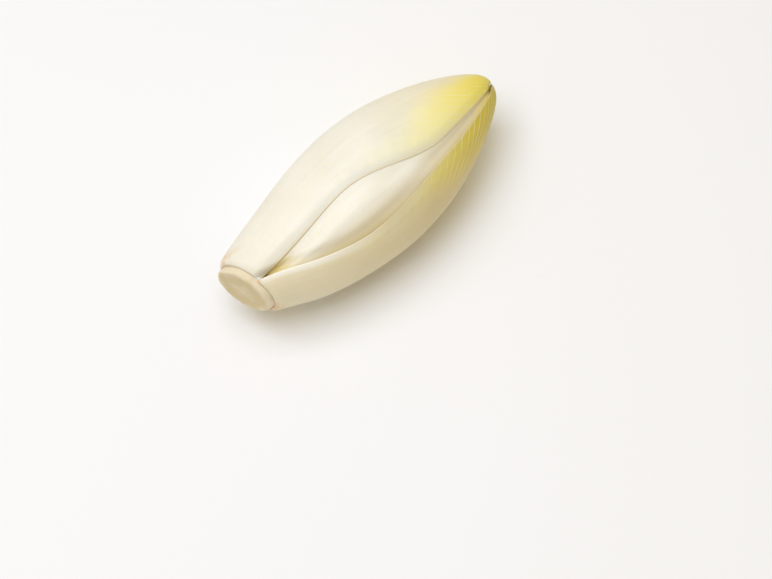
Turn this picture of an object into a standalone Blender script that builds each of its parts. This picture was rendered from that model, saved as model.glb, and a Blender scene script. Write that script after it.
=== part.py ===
"""A Belgian endive (a forced witloof chicory head), lying on its side as picked and trimmed.

The head is a short stem, the core, with leaves set on it in a spiral. Every leaf is a thick ivory midrib
with a thin blade, and clasps the leaves inside it. The outermost leaf is number 1, and the innermost one is
the last.

The leaves are laid out from the outside in. The head's outline gives the outer face of the outermost leaf,
each leaf takes its own thickness away from the space inside it, and the next leaf fits under what is left.
The core is what remains in the middle. Rays from the head's spine measure that space, so each surface is
one distance along each ray, and nested pieces can't cross.

Head frame: the spine runs along +z from the foot of the leaves at z = 0 to the tip, and azimuth 0 is the
side that faces up when the head lies down. Row frame: the spine lies along +X, and +Z is up. Units are
metres and radians.
"""

import math

import bmesh
import bpy
import numpy as np
from mathutils import Vector

MM = 0.001
DEG = math.pi / 180

# The head
HEAD_LENGTH = 135 * MM
HEAD_RADIUS = 27.6 * MM
BELLY_HEIGHT = 66.0 * MM  # of the widest ring
NECK_NARROWING = 0.55  # share of the radius lost from the belly to the foot
NECK_POWER = 1.79
TIP_BLUNTING = 0.20
TIP_POWER = 0.81  # 0.5 is an ellipse's round end, and 1 a parabola's point

NECK_SHIFT = 1.3 * MM  # the neck sits this far beside the spine, away from this side
NECK_SHIFT_SIDE = 109 * DEG
NECK_SHIFT_END = 35 * MM  # and is back on it at this height

# The cut: the knife went through a little askew, and the feet of the leaves slant with it
CUT_STATION = 0.5 * MM  # the middle of the cut face
CUT_SLANT = 0.26  # rise of the cut for its width
CUT_HIGH_SIDE = 85 * DEG
SLANT_END = 25 * MM  # height where the slant has died out

# The rays: square to the spine below, and fanning out from one point of it inside the tip
FAN_START = 95 * MM
FAN_FULL = 131 * MM
FAN_RADIUS = 18 * MM  # of the arc that the station follows round the tip

# The leaves
LEAF_COUNT = 15
FIRST_AZIMUTH = 103 * DEG
DIVERGENCE = -142 * DEG  # from each leaf to the next one inside it
FIRST_FOOT = 3.0 * MM  # the two outermost leaves are cut off almost level with the stem
SECOND_FOOT = 3.9 * MM
FOOT_STEP = 0.5 * MM  # the other feet are tried this much higher each time, up to the highest
HIGHEST_FOOT = 66 * MM
FOOT_ROOM = 1.0 * MM  # a leaf grows from the lowest place where the core leaves it this much
ROOM_SAMPLES = (25, 40)  # places across and along a leaf where that room is measured
TOP_TIPS = {0: 137.7 * MM, 2: 135.2 * MM}  # by index: these leaves stop short of the others
TIP_STATION = 138.4 * MM
TIP_DROP = 0.0118 * MM  # times the cube of the leaf's index: inner leaves end lower
# Half angles round the spine: at the waist, and how much more at the foot and in the blade. Leaf 4's foot
# narrows instead, and reaches down between the first two.
OUTLINES = {
    0: (49 * DEG, 31 * DEG, 8.5 * DEG),
    1: (46 * DEG, 17 * DEG, 22 * DEG),
    3: (48 * DEG, -30 * DEG, 18 * DEG),
}
USUAL_OUTLINE = (48 * DEG, 6 * DEG, 18 * DEG)
FLARE_POWER = 1.6
WAIST_AT = 0.33  # share of the leaf's length
BLADE_FULL_AT = 0.68
TIP_ROUNDING_AT = 0.95
WRAP_GAIN = 0.045  # each leaf further in wraps this much further round
LEAN = 10 * DEG  # how far past the spine the leaf tips fold over
LEAN_FULL_AT = 2 / 3  # share of the way round the tip
RIB_FOOT = 4.6 * MM
RIB_TIP = 1.1 * MM
RIB_LOSS = 0.01  # inner leaves are thinner, by this share each
FOOT_THICKENING = 5 * MM  # up to here the midrib fills the room between its neighbours and the core
EDGE = 0.65 * MM
FOOT_EDGE_EXTRA = 0.7 * MM
EDGE_THINS_AT = 0.4
EDGE_DIP = 1.3 * MM  # how far the foot's edges turn in towards the stem
EDGE_DIP_POWER = 5
TOE_LENGTH = 2.2 * MM  # the rounded lower end of a leaf
TOE_DEPTH = 1.6 * MM
MOST_TOE_DEPTH = 0.55  # share of the leaf's thickness
NARROWEST = 7 * DEG  # half angle of the blunt end of the tip

# Fit between the pieces
GAP = 0.5 * MM
GAP_GROWTH = 0.09 * MM  # more of a gap for each leaf further in, whose faces are coarser
COVER_REACH = 2.2 * MM  # how far past a leaf's edge the next one stays fully under it
COVER_FADE = 5.5 * MM  # length of the slope beside the edge, from one level to the next
FADE_GROWTH = 1.8 * MM
LEAVES_ON_TOP = 3  # round these the cover fades as fast at the narrow tip as at the belly
TOP_TIP_FADE = 3  # and this many times faster past their tips

SPACE_STEPS = (284, 361)  # entries along and round the head in the table of the space that is left

# The core
STUMP_RADIUS = 11.9 * MM
STUMP_HEIGHT = 4.4 * MM
STUMP_SHOULDER = 5.0 * MM  # height over which the stump narrows to the core proper
CORE_RADIUS = 9.0 * MM
CORE_TOP = 72 * MM
CORE_POWER = 1.15
CORE_TIP_RADIUS = 0.5 * MM
CORE_GAP = 0.75 * MM  # between the core and the leaves on it

# Where it lies
FLAT_DEPTH = 0.8 * MM  # how much of the belly the resting spot takes off
BOTTOM_LEAF = 2

# Mesh steps: segments across and along, for the leaves that show and for those inside
SHOWN_LEAVES = 5
SHOWN_STEPS = (14, 24)
INNER_STEPS = (10, 12)
CORE_STEPS = (24, 24)
ROW_CROWDING = 0.55  # 0 spaces a leaf's rows evenly, and 1 crowds them to its two ends as a cosine does
CORE_ROW_POWER = 1.3  # crowds the core's rows towards the stump
SEAM_MERGE = 0.01 * MM
SHARP_ANGLE = 50 * DEG
RAY_SAMPLES = 800
HALVINGS = 40

# Colours and finish
OUTER_LEAF_COLOUR = np.array((0.86, 0.83, 0.66))
INNER_LEAF_COLOUR = np.array((0.86, 0.80, 0.44))
CORE_COLOUR = np.array((0.80, 0.72, 0.55))
LEAF_ROUGHNESS = 0.42
CORE_ROUGHNESS = 0.6


def smooth(x):
    """0 up to x = 0, 1 from x = 1, and an even bend between."""
    x = np.clip(x, 0.0, 1.0)
    return x * x * (3 - 2 * x)


def outline_radius(z):
    """Radius of the whole head at height z."""
    below = np.clip((BELLY_HEIGHT - z) / BELLY_HEIGHT, 0, None)
    above = np.clip((z - BELLY_HEIGHT) / (HEAD_LENGTH - BELLY_HEIGHT), 0, 1)
    return HEAD_RADIUS * np.where(
        z < BELLY_HEIGHT,
        1 - NECK_NARROWING * below**NECK_POWER,
        (1 - above**2) ** (TIP_POWER - TIP_BLUNTING * above**4),
    )


def ray(station):
    """Where the ray of a station starts on the spine, and how far it tilts up from square to the spine."""
    span = FAN_FULL - FAN_START
    bent = np.clip(station - FAN_START, 0, span) ** 2 / (2 * span)
    bent = bent + np.clip(station - FAN_FULL, 0, None)
    return station - bent, bent / FAN_RADIUS


def station_of_tilt(tilt):
    """The station whose ray has this tilt: ray() turned round, for a tilt above 0."""
    span = FAN_FULL - FAN_START
    bent = tilt * FAN_RADIUS
    return np.where(
        bent < span / 2, FAN_START + np.sqrt(2 * span * bent), FAN_FULL + bent - span / 2
    )


TOP_STATION = float(station_of_tilt(np.array(math.pi / 2)))


def measure_rays(stations):
    """How far the head's outline lies along each ray, by halving the interval."""
    start, tilt = ray(stations)
    near = np.zeros_like(stations)
    far = np.full_like(stations, HEAD_LENGTH)
    for _ in range(HALVINGS):
        middle = (near + far) / 2
        inside = middle * np.cos(tilt) < outline_radius(start + middle * np.sin(tilt))
        near = np.where(inside, middle, near)
        far = np.where(inside, far, middle)
    return near


RAY_STATIONS = np.linspace(0, TOP_STATION, RAY_SAMPLES)
RAY_LENGTHS = measure_rays(RAY_STATIONS)


def ray_length(station):
    """Distance from the spine to the head's outline along the ray of a station."""
    return np.interp(station, RAY_STATIONS, RAY_LENGTHS)


def ring_radius(station):
    """Distance of the outline from the spine, square to it."""
    return ray_length(station) * np.cos(ray(station)[1])


def core_radius(station):
    """A cone with a bulging side. The stump is a little wider, where the first leaves were cut off."""
    rise = np.clip(station / CORE_TOP, 0, 1)
    cone = CORE_TIP_RADIUS + (CORE_RADIUS - CORE_TIP_RADIUS) * (1 - rise**CORE_POWER)
    return cone + (STUMP_RADIUS - cone) * (1 - smooth((station - STUMP_HEIGHT) / STUMP_SHOULDER))


class Space:
    """Depth left free inside the head, along the ray of each place. Each leaf takes its part from it."""

    def __init__(self):
        self.stations = np.linspace(0, TOP_STATION, SPACE_STEPS[0])
        self.azimuths = np.linspace(0, 2 * math.pi, SPACE_STEPS[1])
        self.depths = np.repeat(ray_length(self.stations)[:, None], SPACE_STEPS[1], axis=1)

    def without(self, leaf):
        """What is left inside the leaf and the gap under it."""
        station, azimuth = np.meshgrid(self.stations, self.azimuths, indexing="ij")
        left = Space()
        left.depths = self.depths - leaf.space_taken(station, azimuth)
        return left

    def depth(self, station, azimuth):
        """Reads the table between its entries."""
        row = np.clip(station / TOP_STATION, 0, 1) * (SPACE_STEPS[0] - 1)
        column = (azimuth / (2 * math.pi)) % 1 * (SPACE_STEPS[1] - 1)
        i = np.minimum(row.astype(int), SPACE_STEPS[0] - 2)
        j = np.minimum(column.astype(int), SPACE_STEPS[1] - 2)
        u, v = row - i, column - j
        low = self.depths[i, j] * (1 - v) + self.depths[i, j + 1] * v
        high = self.depths[i + 1, j] * (1 - v) + self.depths[i + 1, j + 1] * v
        return low * (1 - u) + high * u


class Leaf:
    """One leaf's place and size. index is 0 for the outermost one, and space is what is left for it."""

    def __init__(self, index, space):
        self.index = index
        self.space = space
        self.azimuth = FIRST_AZIMUTH + index * DIVERGENCE
        self.tip = TOP_TIPS.get(index, TIP_STATION - TIP_DROP * index**3)
        self.on_top = index < LEAVES_ON_TOP
        self.waist, self.flare, self.spread = OUTLINES.get(index, USUAL_OUTLINE)
        self.wrap = 1 + WRAP_GAIN * index
        self.rib_scale = 1 - RIB_LOSS * index
        self.foot = SECOND_FOOT if index else FIRST_FOOT
        while index > 1 and self.least_room() < FOOT_ROOM and self.foot < HIGHEST_FOOT:
            self.foot += FOOT_STEP

    def least_room(self):
        """The thinnest place left for the leaf, between its outer neighbours and the core."""
        columns, rows = ROOM_SAMPLES
        across, along = np.meshgrid(np.linspace(-1, 1, columns), np.linspace(0, 1, rows))
        station = self.foot + along * (CORE_TOP - self.foot)
        azimuth = self.azimuth + across * self.half_angle(station)
        return float(self.room(station, azimuth, across).min())

    def along(self, station):
        """Share of the leaf's length, from its foot to its tip."""
        return np.clip((station - self.foot) / (self.tip - self.foot), 0, 1)

    def half_angle(self, station):
        """Half the angle that the leaf spans round the spine."""
        s = self.along(station)
        angle = self.waist + self.flare * np.clip(1 - s / WAIST_AT, 0, None) ** FLARE_POWER
        angle = angle + self.spread * smooth((s - WAIST_AT) / (BLADE_FULL_AT - WAIST_AT))
        closing = np.clip((s - TIP_ROUNDING_AT) / (1 - TIP_ROUNDING_AT), 0, 1)
        return self.wrap * angle * np.sqrt(1 - closing**2)

    def edge_dip(self, station, across):
        """How far the edges of the foot turn in. Those of the outermost leaf stand out as a lip."""
        if self.index == 0 or self.index >= SHOWN_LEAVES:
            return 0 * station
        low = np.clip(1 - self.along(station) / EDGE_THINS_AT, 0, None)
        return EDGE_DIP * low * np.abs(np.clip(across, -1, 1)) ** EDGE_DIP_POWER

    def room(self, station, azimuth, across):
        """Depth between the leaf's outer face and the core."""
        free = self.space.depth(station, azimuth)
        return free - self.edge_dip(station, across) - core_radius(station) - CORE_GAP

    def thickness(self, station, azimuth, across):
        """Thick along the midrib and thin at the edges. across is -1 at one edge and 1 at the other."""
        s = self.along(station)
        edge = EDGE + FOOT_EDGE_EXTRA * np.clip(1 - s / EDGE_THINS_AT, 0, None)
        rib = (RIB_TIP + (RIB_FOOT - RIB_TIP) * (1 - s)) * self.rib_scale
        room = self.room(station, azimuth, across)
        filling = np.clip(1 - (station - self.foot) / FOOT_THICKENING, 0, 1) ** 2
        rib = rib + filling * np.clip(room - rib, 0, None)
        bulge = np.clip(1 - across**2, 0, 1) ** (1 + 2 * s)
        return np.minimum(edge + np.clip(rib - edge, 0, None) * bulge, room)

    def lean(self, station, azimuth, angle_sign):
        """Station and azimuth after the fan of rays is turned over the tip, away from the leaf's own side."""
        tilt = ray(station)[1]
        way = (station - FAN_FULL) / (TOP_STATION - FAN_FULL)
        turn = angle_sign * LEAN * smooth(way / LEAN_FULL_AT)
        out = np.cos(tilt) * np.cos(azimuth - self.azimuth)
        side = np.cos(tilt) * np.sin(azimuth - self.azimuth)
        up = np.sin(tilt)
        new_out = out * np.cos(turn) - up * np.sin(turn)
        new_up = np.clip(out * np.sin(turn) + up * np.cos(turn), -1, 1)
        new_station = station_of_tilt(np.arcsin(np.clip(new_up, 0, 1)))
        new_azimuth = self.azimuth + np.arctan2(side, new_out)
        moved = turn != 0
        return np.where(moved, new_station, station), np.where(moved, new_azimuth, azimuth)

    def space_taken(self, station, azimuth):
        """How much of the space inside the head's outline this leaf uses up, at a place on the head."""
        own_station, own_azimuth = self.lean(station, azimuth, -1)
        angle = (own_azimuth - self.azimuth + math.pi) % (2 * math.pi) - math.pi
        half = self.half_angle(own_station)
        across = angle / np.maximum(half, 1e-6)
        scale = HEAD_RADIUS if self.on_top else ring_radius(own_station)
        beside = (np.abs(angle) - half) * scale
        past_tip = (own_station - self.tip) * (TOP_TIP_FADE if self.on_top else 1)
        beyond = np.maximum(past_tip, self.foot - own_station)
        fade = COVER_FADE + self.index * FADE_GROWTH
        cover = 1 - smooth((np.maximum(beside, beyond) - COVER_REACH) / fade)
        taken = self.thickness(station, azimuth, across) + self.edge_dip(own_station, across)
        return cover * (np.maximum(taken, 0) + GAP + self.index * GAP_GROWTH)


def to_row_frame(along, out, azimuth):
    """Head frame to row frame. Near the cut, everything slants with it."""
    slant = CUT_SLANT * out * np.cos(azimuth - CUT_HIGH_SIDE) * (1 - smooth(along / SLANT_END))
    shift = -NECK_SHIFT * (1 - smooth(along / NECK_SHIFT_END))
    left = out * np.sin(azimuth) + shift * math.sin(NECK_SHIFT_SIDE)
    rise = out * np.cos(azimuth) + shift * math.cos(NECK_SHIFT_SIDE)
    return np.stack([along + slant, -left, rise], axis=-1)


def point(station, azimuth, distance):
    """The place at this distance along the ray of a station, in the row frame."""
    start, tilt = ray(station)
    return to_row_frame(start + distance * np.sin(tilt), distance * np.cos(tilt), azimuth)


def leaf_points(leaf, across, along, depth):
    """Bends a flat slab into the leaf: across is -1 to 1, along 0 to 1, and depth 0 outside to 1."""
    crowded = (1 - np.cos(math.pi * along)) / 2
    own_station = leaf.foot + (along + ROW_CROWDING * (crowded - along)) * (leaf.tip - leaf.foot)
    half = np.maximum(leaf.half_angle(own_station), NARROWEST)
    station, azimuth = leaf.lean(own_station, leaf.azimuth + across * half, 1)
    outer = leaf.space.depth(station, azimuth) - leaf.edge_dip(own_station, across)
    thickness = leaf.thickness(station, azimuth, across)
    toe = np.clip(1 - (own_station - leaf.foot) / TOE_LENGTH, 0, 1)
    rounding = np.minimum(TOE_DEPTH * (1 - np.sqrt(1 - toe**2)), MOST_TOE_DEPTH * thickness)
    return point(station, azimuth, outer - depth * thickness - (1 - depth) * rounding)


def slab(columns, rows):
    """A flat closed slab of unit size, with a grid on both faces."""
    bm = bmesh.new()
    bmesh.ops.create_grid(bm, x_segments=columns, y_segments=rows, size=0.5)
    bmesh.ops.solidify(bm, geom=bm.faces[:], thickness=1.0)
    return bm


def bend_vertices(bm, place):
    """Moves each vertex to place(x, y, z) of its own coordinates, all at once."""
    flat = np.array([vertex.co for vertex in bm.verts])
    for vertex, co in zip(bm.verts, place(*flat.T)):
        vertex.co = co


def material(name, colour, roughness):
    made = bpy.data.materials.new(name)
    made.use_nodes = True
    shader = made.node_tree.nodes["Principled BSDF"]
    shader.inputs["Base Color"].default_value = (*colour, 1)
    shader.inputs["Roughness"].default_value = roughness
    shader.inputs["Metallic"].default_value = 0
    return made


def finish_object(name, bm, made_of, collection):
    """Turns the faces outward, and makes the mesh an object with its material, in the collection."""
    if bm.calc_volume(signed=True) < 0:
        bmesh.ops.reverse_faces(bm, faces=bm.faces[:])
    mesh = bpy.data.meshes.new(name)
    bm.to_mesh(mesh)
    bm.free()
    mesh.shade_smooth()
    mesh.set_sharp_from_angle(angle=SHARP_ANGLE)
    mesh.materials.append(made_of)
    made = bpy.data.objects.new(name, mesh)
    collection.objects.link(made)
    return made


def flatten_underside(bm):
    """Cuts the flat spot that the head rests on, where the belly touches the table."""
    level = Vector((0, 0, FLAT_DEPTH - HEAD_RADIUS))
    geometry = bm.verts[:] + bm.edges[:] + bm.faces[:]
    cut = bmesh.ops.bisect_plane(
        bm, geom=geometry, plane_co=level, plane_no=(0, 0, -1), clear_outer=True
    )
    rim = [edge for edge in cut["geom_cut"] if isinstance(edge, bmesh.types.BMEdge)]
    bmesh.ops.contextual_create(bm, geom=rim)


def stand_on_origin(pieces):
    """Moves the head so that the middle of its underside is at the origin."""
    corners = np.array([v.co for piece in pieces for v in piece.data.vertices])
    low, high = corners.min(axis=0), corners.max(axis=0)
    frame = bpy.data.objects.new("resting_frame", None)
    frame.location = (-(low[0] + high[0]) / 2, -(low[1] + high[1]) / 2, -low[2])
    pieces[0].users_collection[0].objects.link(frame)
    for piece in pieces:
        piece.parent = frame


def make_leaf(leaf, collection):
    columns, rows = SHOWN_STEPS if leaf.index < SHOWN_LEAVES else INNER_STEPS
    bm = slab(columns, rows)
    lowest = min(vertex.co.z for vertex in bm.verts)
    bend_vertices(bm, lambda x, y, z: leaf_points(leaf, 2 * x, y + 0.5, z - lowest))
    if leaf.index == BOTTOM_LEAF:
        flatten_underside(bm)
    inwards = leaf.index / (LEAF_COUNT - 1)
    colour = OUTER_LEAF_COLOUR + inwards * (INNER_LEAF_COLOUR - OUTER_LEAF_COLOUR)
    name = f"leaf_{leaf.index + 1:02d}"
    skin = material(name + "_skin", colour, LEAF_ROUGHNESS)
    return finish_object(name, bm, skin, collection)


def make_core(collection):
    columns, rows = CORE_STEPS
    bm = bmesh.new()
    bmesh.ops.create_grid(bm, x_segments=columns, y_segments=rows, size=0.5)

    def wrap_round(x, y, z):
        height = CUT_STATION + (CORE_TOP - CUT_STATION) * (y + 0.5) ** CORE_ROW_POWER
        return to_row_frame(height, core_radius(height), (x + 0.5) * 2 * math.pi)

    bend_vertices(bm, wrap_round)
    bmesh.ops.remove_doubles(bm, verts=bm.verts[:], dist=SEAM_MERGE)
    bmesh.ops.holes_fill(bm, edges=bm.edges[:])
    flesh = material("core_flesh", CORE_COLOUR, CORE_ROUGHNESS)
    return finish_object("core", bm, flesh, collection)


def clear_scene():
    for old in list(bpy.data.objects):
        bpy.data.objects.remove(old)


def main():
    clear_scene()
    collection = bpy.data.collections.new("belgian_endive")
    bpy.context.scene.collection.children.link(collection)
    pieces = [make_core(collection)]
    space = Space()
    for index in range(LEAF_COUNT):
        leaf = Leaf(index, space)
        pieces.append(make_leaf(leaf, collection))
        space = space.without(leaf)
    stand_on_origin(pieces)


main()
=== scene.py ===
# %% [markdown]
# # A Belgian endive
# A Belgian endive, or witloof, is a chicory head grown in the dark. It is a short stem, the core, with
# leaves set on it in a spiral. Each leaf has a thick ivory midrib with a thin yellow blade, and clasps the
# leaves inside it.
#
# The plain solids of the head are loaded first. Every leaf is then made again in the same place with a fine
# surface, and gets a skin that follows the way the leaf grows: along its midrib, and out to its edges.

# %% Load the plain solids
import math

import bmesh
import bpy
import numpy as np
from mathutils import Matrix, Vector


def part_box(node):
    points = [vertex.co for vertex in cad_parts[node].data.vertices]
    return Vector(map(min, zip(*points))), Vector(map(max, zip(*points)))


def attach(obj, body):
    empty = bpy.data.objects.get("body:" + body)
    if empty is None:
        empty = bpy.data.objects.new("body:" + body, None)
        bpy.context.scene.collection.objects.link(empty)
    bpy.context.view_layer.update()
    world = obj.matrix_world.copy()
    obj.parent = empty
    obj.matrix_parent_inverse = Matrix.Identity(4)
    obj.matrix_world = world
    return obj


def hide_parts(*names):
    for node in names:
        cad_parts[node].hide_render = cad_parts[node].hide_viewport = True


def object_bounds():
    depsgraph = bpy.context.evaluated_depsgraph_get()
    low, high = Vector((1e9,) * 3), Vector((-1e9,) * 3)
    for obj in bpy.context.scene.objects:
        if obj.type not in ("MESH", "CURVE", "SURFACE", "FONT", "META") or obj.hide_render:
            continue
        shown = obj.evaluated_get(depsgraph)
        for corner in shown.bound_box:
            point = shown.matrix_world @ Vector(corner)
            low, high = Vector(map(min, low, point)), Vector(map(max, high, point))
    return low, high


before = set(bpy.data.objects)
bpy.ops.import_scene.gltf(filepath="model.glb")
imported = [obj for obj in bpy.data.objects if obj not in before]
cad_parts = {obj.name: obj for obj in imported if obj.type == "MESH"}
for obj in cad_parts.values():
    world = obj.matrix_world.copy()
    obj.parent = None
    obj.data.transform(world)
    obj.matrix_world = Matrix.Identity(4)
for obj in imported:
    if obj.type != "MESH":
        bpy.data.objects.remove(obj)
PLAIN_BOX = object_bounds()

MM = 0.001
DEG = math.pi / 180
print("plain solids:", len(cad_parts), "box:", PLAIN_BOX)

# %% [markdown]
# ## Where the head lies
# The head lies on its side. Its spine runs along +X, from the cut face to the tip, and +Z is up. The core
# is round, so the middle of its box is level with the middle of the cut face. A real head is a little
# crooked: the neck sits beside the spine, and the knife went through askew, so everything near the cut
# slants. All places are measured from the spine.

# %% Find the spine
NECK_SHIFT = 1.3 * MM  # the neck sits this far beside the spine, away from this side
NECK_SHIFT_SIDE = 109 * DEG
NECK_SHIFT_END = 35 * MM  # and is back on it at this height
CUT_STATION = 0.5 * MM  # the middle of the cut face
CUT_SLANT = 0.26  # rise of the cut for its width
CUT_HIGH_SIDE = 85 * DEG
SLANT_END = 25 * MM  # height where the slant has died out
STUMP_RADIUS = 11.9 * MM

core_low, core_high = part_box("core")
CUT_FACE = Vector((core_low[0], (core_low[1] + core_high[1]) / 2, (core_low[2] + core_high[2]) / 2))
SPINE = CUT_FACE + Vector(
    (
        CUT_SLANT * STUMP_RADIUS - CUT_STATION,
        -NECK_SHIFT * math.sin(NECK_SHIFT_SIDE),
        NECK_SHIFT * math.cos(NECK_SHIFT_SIDE),
    )
)
print("cut face, in mm:", [round(c / MM, 2) for c in CUT_FACE])
print("spine, in mm:", [round(c / MM, 2) for c in SPINE])


def smooth(x):
    """0 up to x = 0, 1 from x = 1, and an even bend between."""
    x = np.clip(x, 0.0, 1.0)
    return x * x * (3 - 2 * x)


# %% [markdown]
# ## The outline
# A tight head is widest just below its middle, narrows to a neck above the cut, and closes to a blunt tip.
# One formula gives its radius at each height, so all the outer leaves share one even outline.

# %% Radius of the head
HEAD_LENGTH = 135 * MM
HEAD_RADIUS = 27.6 * MM
BELLY_HEIGHT = 66.0 * MM  # of the widest ring
NECK_NARROWING = 0.55  # share of the radius lost from the belly to the foot
NECK_POWER = 1.79
TIP_BLUNTING = 0.20
TIP_POWER = 0.81  # 0.5 is an ellipse's round end, and 1 a parabola's point


def outline_radius(z):
    """Radius of the whole head at height z above the cut face."""
    below = np.clip((BELLY_HEIGHT - z) / BELLY_HEIGHT, 0, None)
    above = np.clip((z - BELLY_HEIGHT) / (HEAD_LENGTH - BELLY_HEIGHT), 0, 1)
    return HEAD_RADIUS * np.where(
        z < BELLY_HEIGHT,
        1 - NECK_NARROWING * below**NECK_POWER,
        (1 - above**2) ** (TIP_POWER - TIP_BLUNTING * above**4),
    )


print("radius at the cut, in mm:", round(float(outline_radius(0)) / MM, 1))

# %% [markdown]
# ## Rays from the spine
# Nested leaves mustn't cut through each other. So no leaf is placed by x, y and z: each is a distance along
# a ray from the spine. The rays are square to the spine below and fan out over the tip. A ray's station is
# how far along it starts, and it goes on counting round the fan.

# %% Rays
FAN_START = 95 * MM
FAN_FULL = 131 * MM
FAN_RADIUS = 18 * MM  # of the arc that the station follows round the tip


def ray(station):
    """Where the ray of a station starts on the spine, and how far it tilts up from square to the spine."""
    span = FAN_FULL - FAN_START
    bent = np.clip(station - FAN_START, 0, span) ** 2 / (2 * span)
    bent = bent + np.clip(station - FAN_FULL, 0, None)
    return station - bent, bent / FAN_RADIUS


def station_of_tilt(tilt):
    """The station whose ray has this tilt: ray() turned round, for a tilt above 0."""
    span = FAN_FULL - FAN_START
    bent = tilt * FAN_RADIUS
    return np.where(bent < span / 2, FAN_START + np.sqrt(2 * span * bent), FAN_FULL + bent - span / 2)


TOP_STATION = float(station_of_tilt(np.array(math.pi / 2)))
HALVINGS = 40
RAY_SAMPLES = 800


def measure_rays(stations):
    """How far the head's outline lies along each ray, by halving the interval."""
    start, tilt = ray(stations)
    near = np.zeros_like(stations)
    far = np.full_like(stations, HEAD_LENGTH)
    for _ in range(HALVINGS):
        middle = (near + far) / 2
        inside = middle * np.cos(tilt) < outline_radius(start + middle * np.sin(tilt))
        near = np.where(inside, middle, near)
        far = np.where(inside, far, middle)
    return near


RAY_STATIONS = np.linspace(0, TOP_STATION, RAY_SAMPLES)
RAY_LENGTHS = measure_rays(RAY_STATIONS)
print("last station, in mm:", round(TOP_STATION / MM, 1))


def ray_length(station):
    """Distance from the spine to the head's outline along the ray of a station."""
    return np.interp(station, RAY_STATIONS, RAY_LENGTHS)


def ring_radius(station):
    """Distance of the outline from the spine, square to it."""
    return ray_length(station) * np.cos(ray(station)[1])


def in_the_head(along, out, azimuth):
    """A place in the scene, from its height above the cut, its distance from the spine and its azimuth."""
    slant = CUT_SLANT * out * np.cos(azimuth - CUT_HIGH_SIDE) * (1 - smooth(along / SLANT_END))
    shift = -NECK_SHIFT * (1 - smooth(along / NECK_SHIFT_END))
    left = out * np.sin(azimuth) + shift * math.sin(NECK_SHIFT_SIDE)
    rise = out * np.cos(azimuth) + shift * math.cos(NECK_SHIFT_SIDE)
    return np.stack([SPINE.x + along + slant, SPINE.y - left, SPINE.z + rise], axis=-1)


# %% [markdown]
# ## The core
# The core is the stem that carries the leaves. It is a cone, and its stump is a little wider, because the
# first leaves were cut off there.

# %% Radius of the core
STUMP_HEIGHT = 4.4 * MM
STUMP_SHOULDER = 5.0 * MM  # height over which the stump narrows to the core proper
CORE_RADIUS = 9.0 * MM
CORE_TOP = 72 * MM
CORE_POWER = 1.15
CORE_TIP_RADIUS = 0.5 * MM
CORE_GAP = 0.3 * MM  # between the core and the leaves on it


def core_radius(station):
    """Radius of the core at a height above the cut face."""
    rise = np.clip(station / CORE_TOP, 0, 1)
    cone = CORE_TIP_RADIUS + (CORE_RADIUS - CORE_TIP_RADIUS) * (1 - rise**CORE_POWER)
    return cone + (STUMP_RADIUS - cone) * (1 - smooth((station - STUMP_HEIGHT) / STUMP_SHOULDER))


print("core's radius half way up, in mm:", round(float(core_radius(CORE_TOP / 2)) / MM, 1))

# %% [markdown]
# ## The space that is left
# The leaves are laid from the outside in. A table holds how deep the free space is along each ray. Each
# leaf takes its own thickness out of it, and the next leaf fits under what is left. That is how real leaves
# come to lie: the outer ones press on the inner ones all over.

# %% The table of free space
SPACE_STEPS = (568, 721)  # entries along and round the head in the table of the space that is left


class Space:
    """Depth left free inside the head, along the ray of each place."""

    def __init__(self):
        self.stations = np.linspace(0, TOP_STATION, SPACE_STEPS[0])
        self.azimuths = np.linspace(0, 2 * math.pi, SPACE_STEPS[1])
        self.depths = np.repeat(ray_length(self.stations)[:, None], SPACE_STEPS[1], axis=1)

    def without(self, leaf):
        """What is left inside the leaf and the gap under it."""
        station, azimuth = np.meshgrid(self.stations, self.azimuths, indexing="ij")
        left = Space()
        left.depths = self.depths - leaf.space_taken(station, azimuth)
        return left

    def depth(self, station, azimuth):
        """Reads the table between its entries."""
        row = np.clip(station / TOP_STATION, 0, 1) * (SPACE_STEPS[0] - 1)
        column = (azimuth / (2 * math.pi)) % 1 * (SPACE_STEPS[1] - 1)
        i = np.minimum(row.astype(int), SPACE_STEPS[0] - 2)
        j = np.minimum(column.astype(int), SPACE_STEPS[1] - 2)
        u, v = row - i, column - j
        low = self.depths[i, j] * (1 - v) + self.depths[i, j + 1] * v
        high = self.depths[i + 1, j] * (1 - v) + self.depths[i + 1, j + 1] * v
        return low * (1 - u) + high * u


# %% [markdown]
# ## One leaf
# Seen from outside, a leaf has a broad foot that clasps the stem, a waist, and a wider blade that closes
# round the tip. Seen from the end, it is thick along the midrib and thin at the edges. Leaves further in
# start higher up and wrap further round. Their tips fold a little past the spine, so that the head closes.

# %% Size and place of a leaf
LEAF_COUNT = 15
SHOWN_LEAVES = 5
FIRST_AZIMUTH = 103 * DEG
DIVERGENCE = -142 * DEG  # from each leaf to the next one inside it
FIRST_FOOT = 3.0 * MM  # the two outermost leaves are cut off almost level with the stem
SECOND_FOOT = 3.9 * MM
FOOT_STEP = 0.5 * MM  # the other feet are tried this much higher each time, up to the highest
HIGHEST_FOOT = 66 * MM
FOOT_ROOM = 1.0 * MM  # a leaf grows from the lowest place where the core leaves it this much
ROOM_SAMPLES = (25, 40)  # places across and along a leaf where that room is measured
TOP_TIPS = {0: 137.7 * MM, 2: 135.2 * MM}  # by index: these leaves stop short of the others
TIP_STATION = 138.4 * MM
TIP_DROP = 0.0118 * MM  # times the cube of the leaf's index: inner leaves end lower
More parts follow.
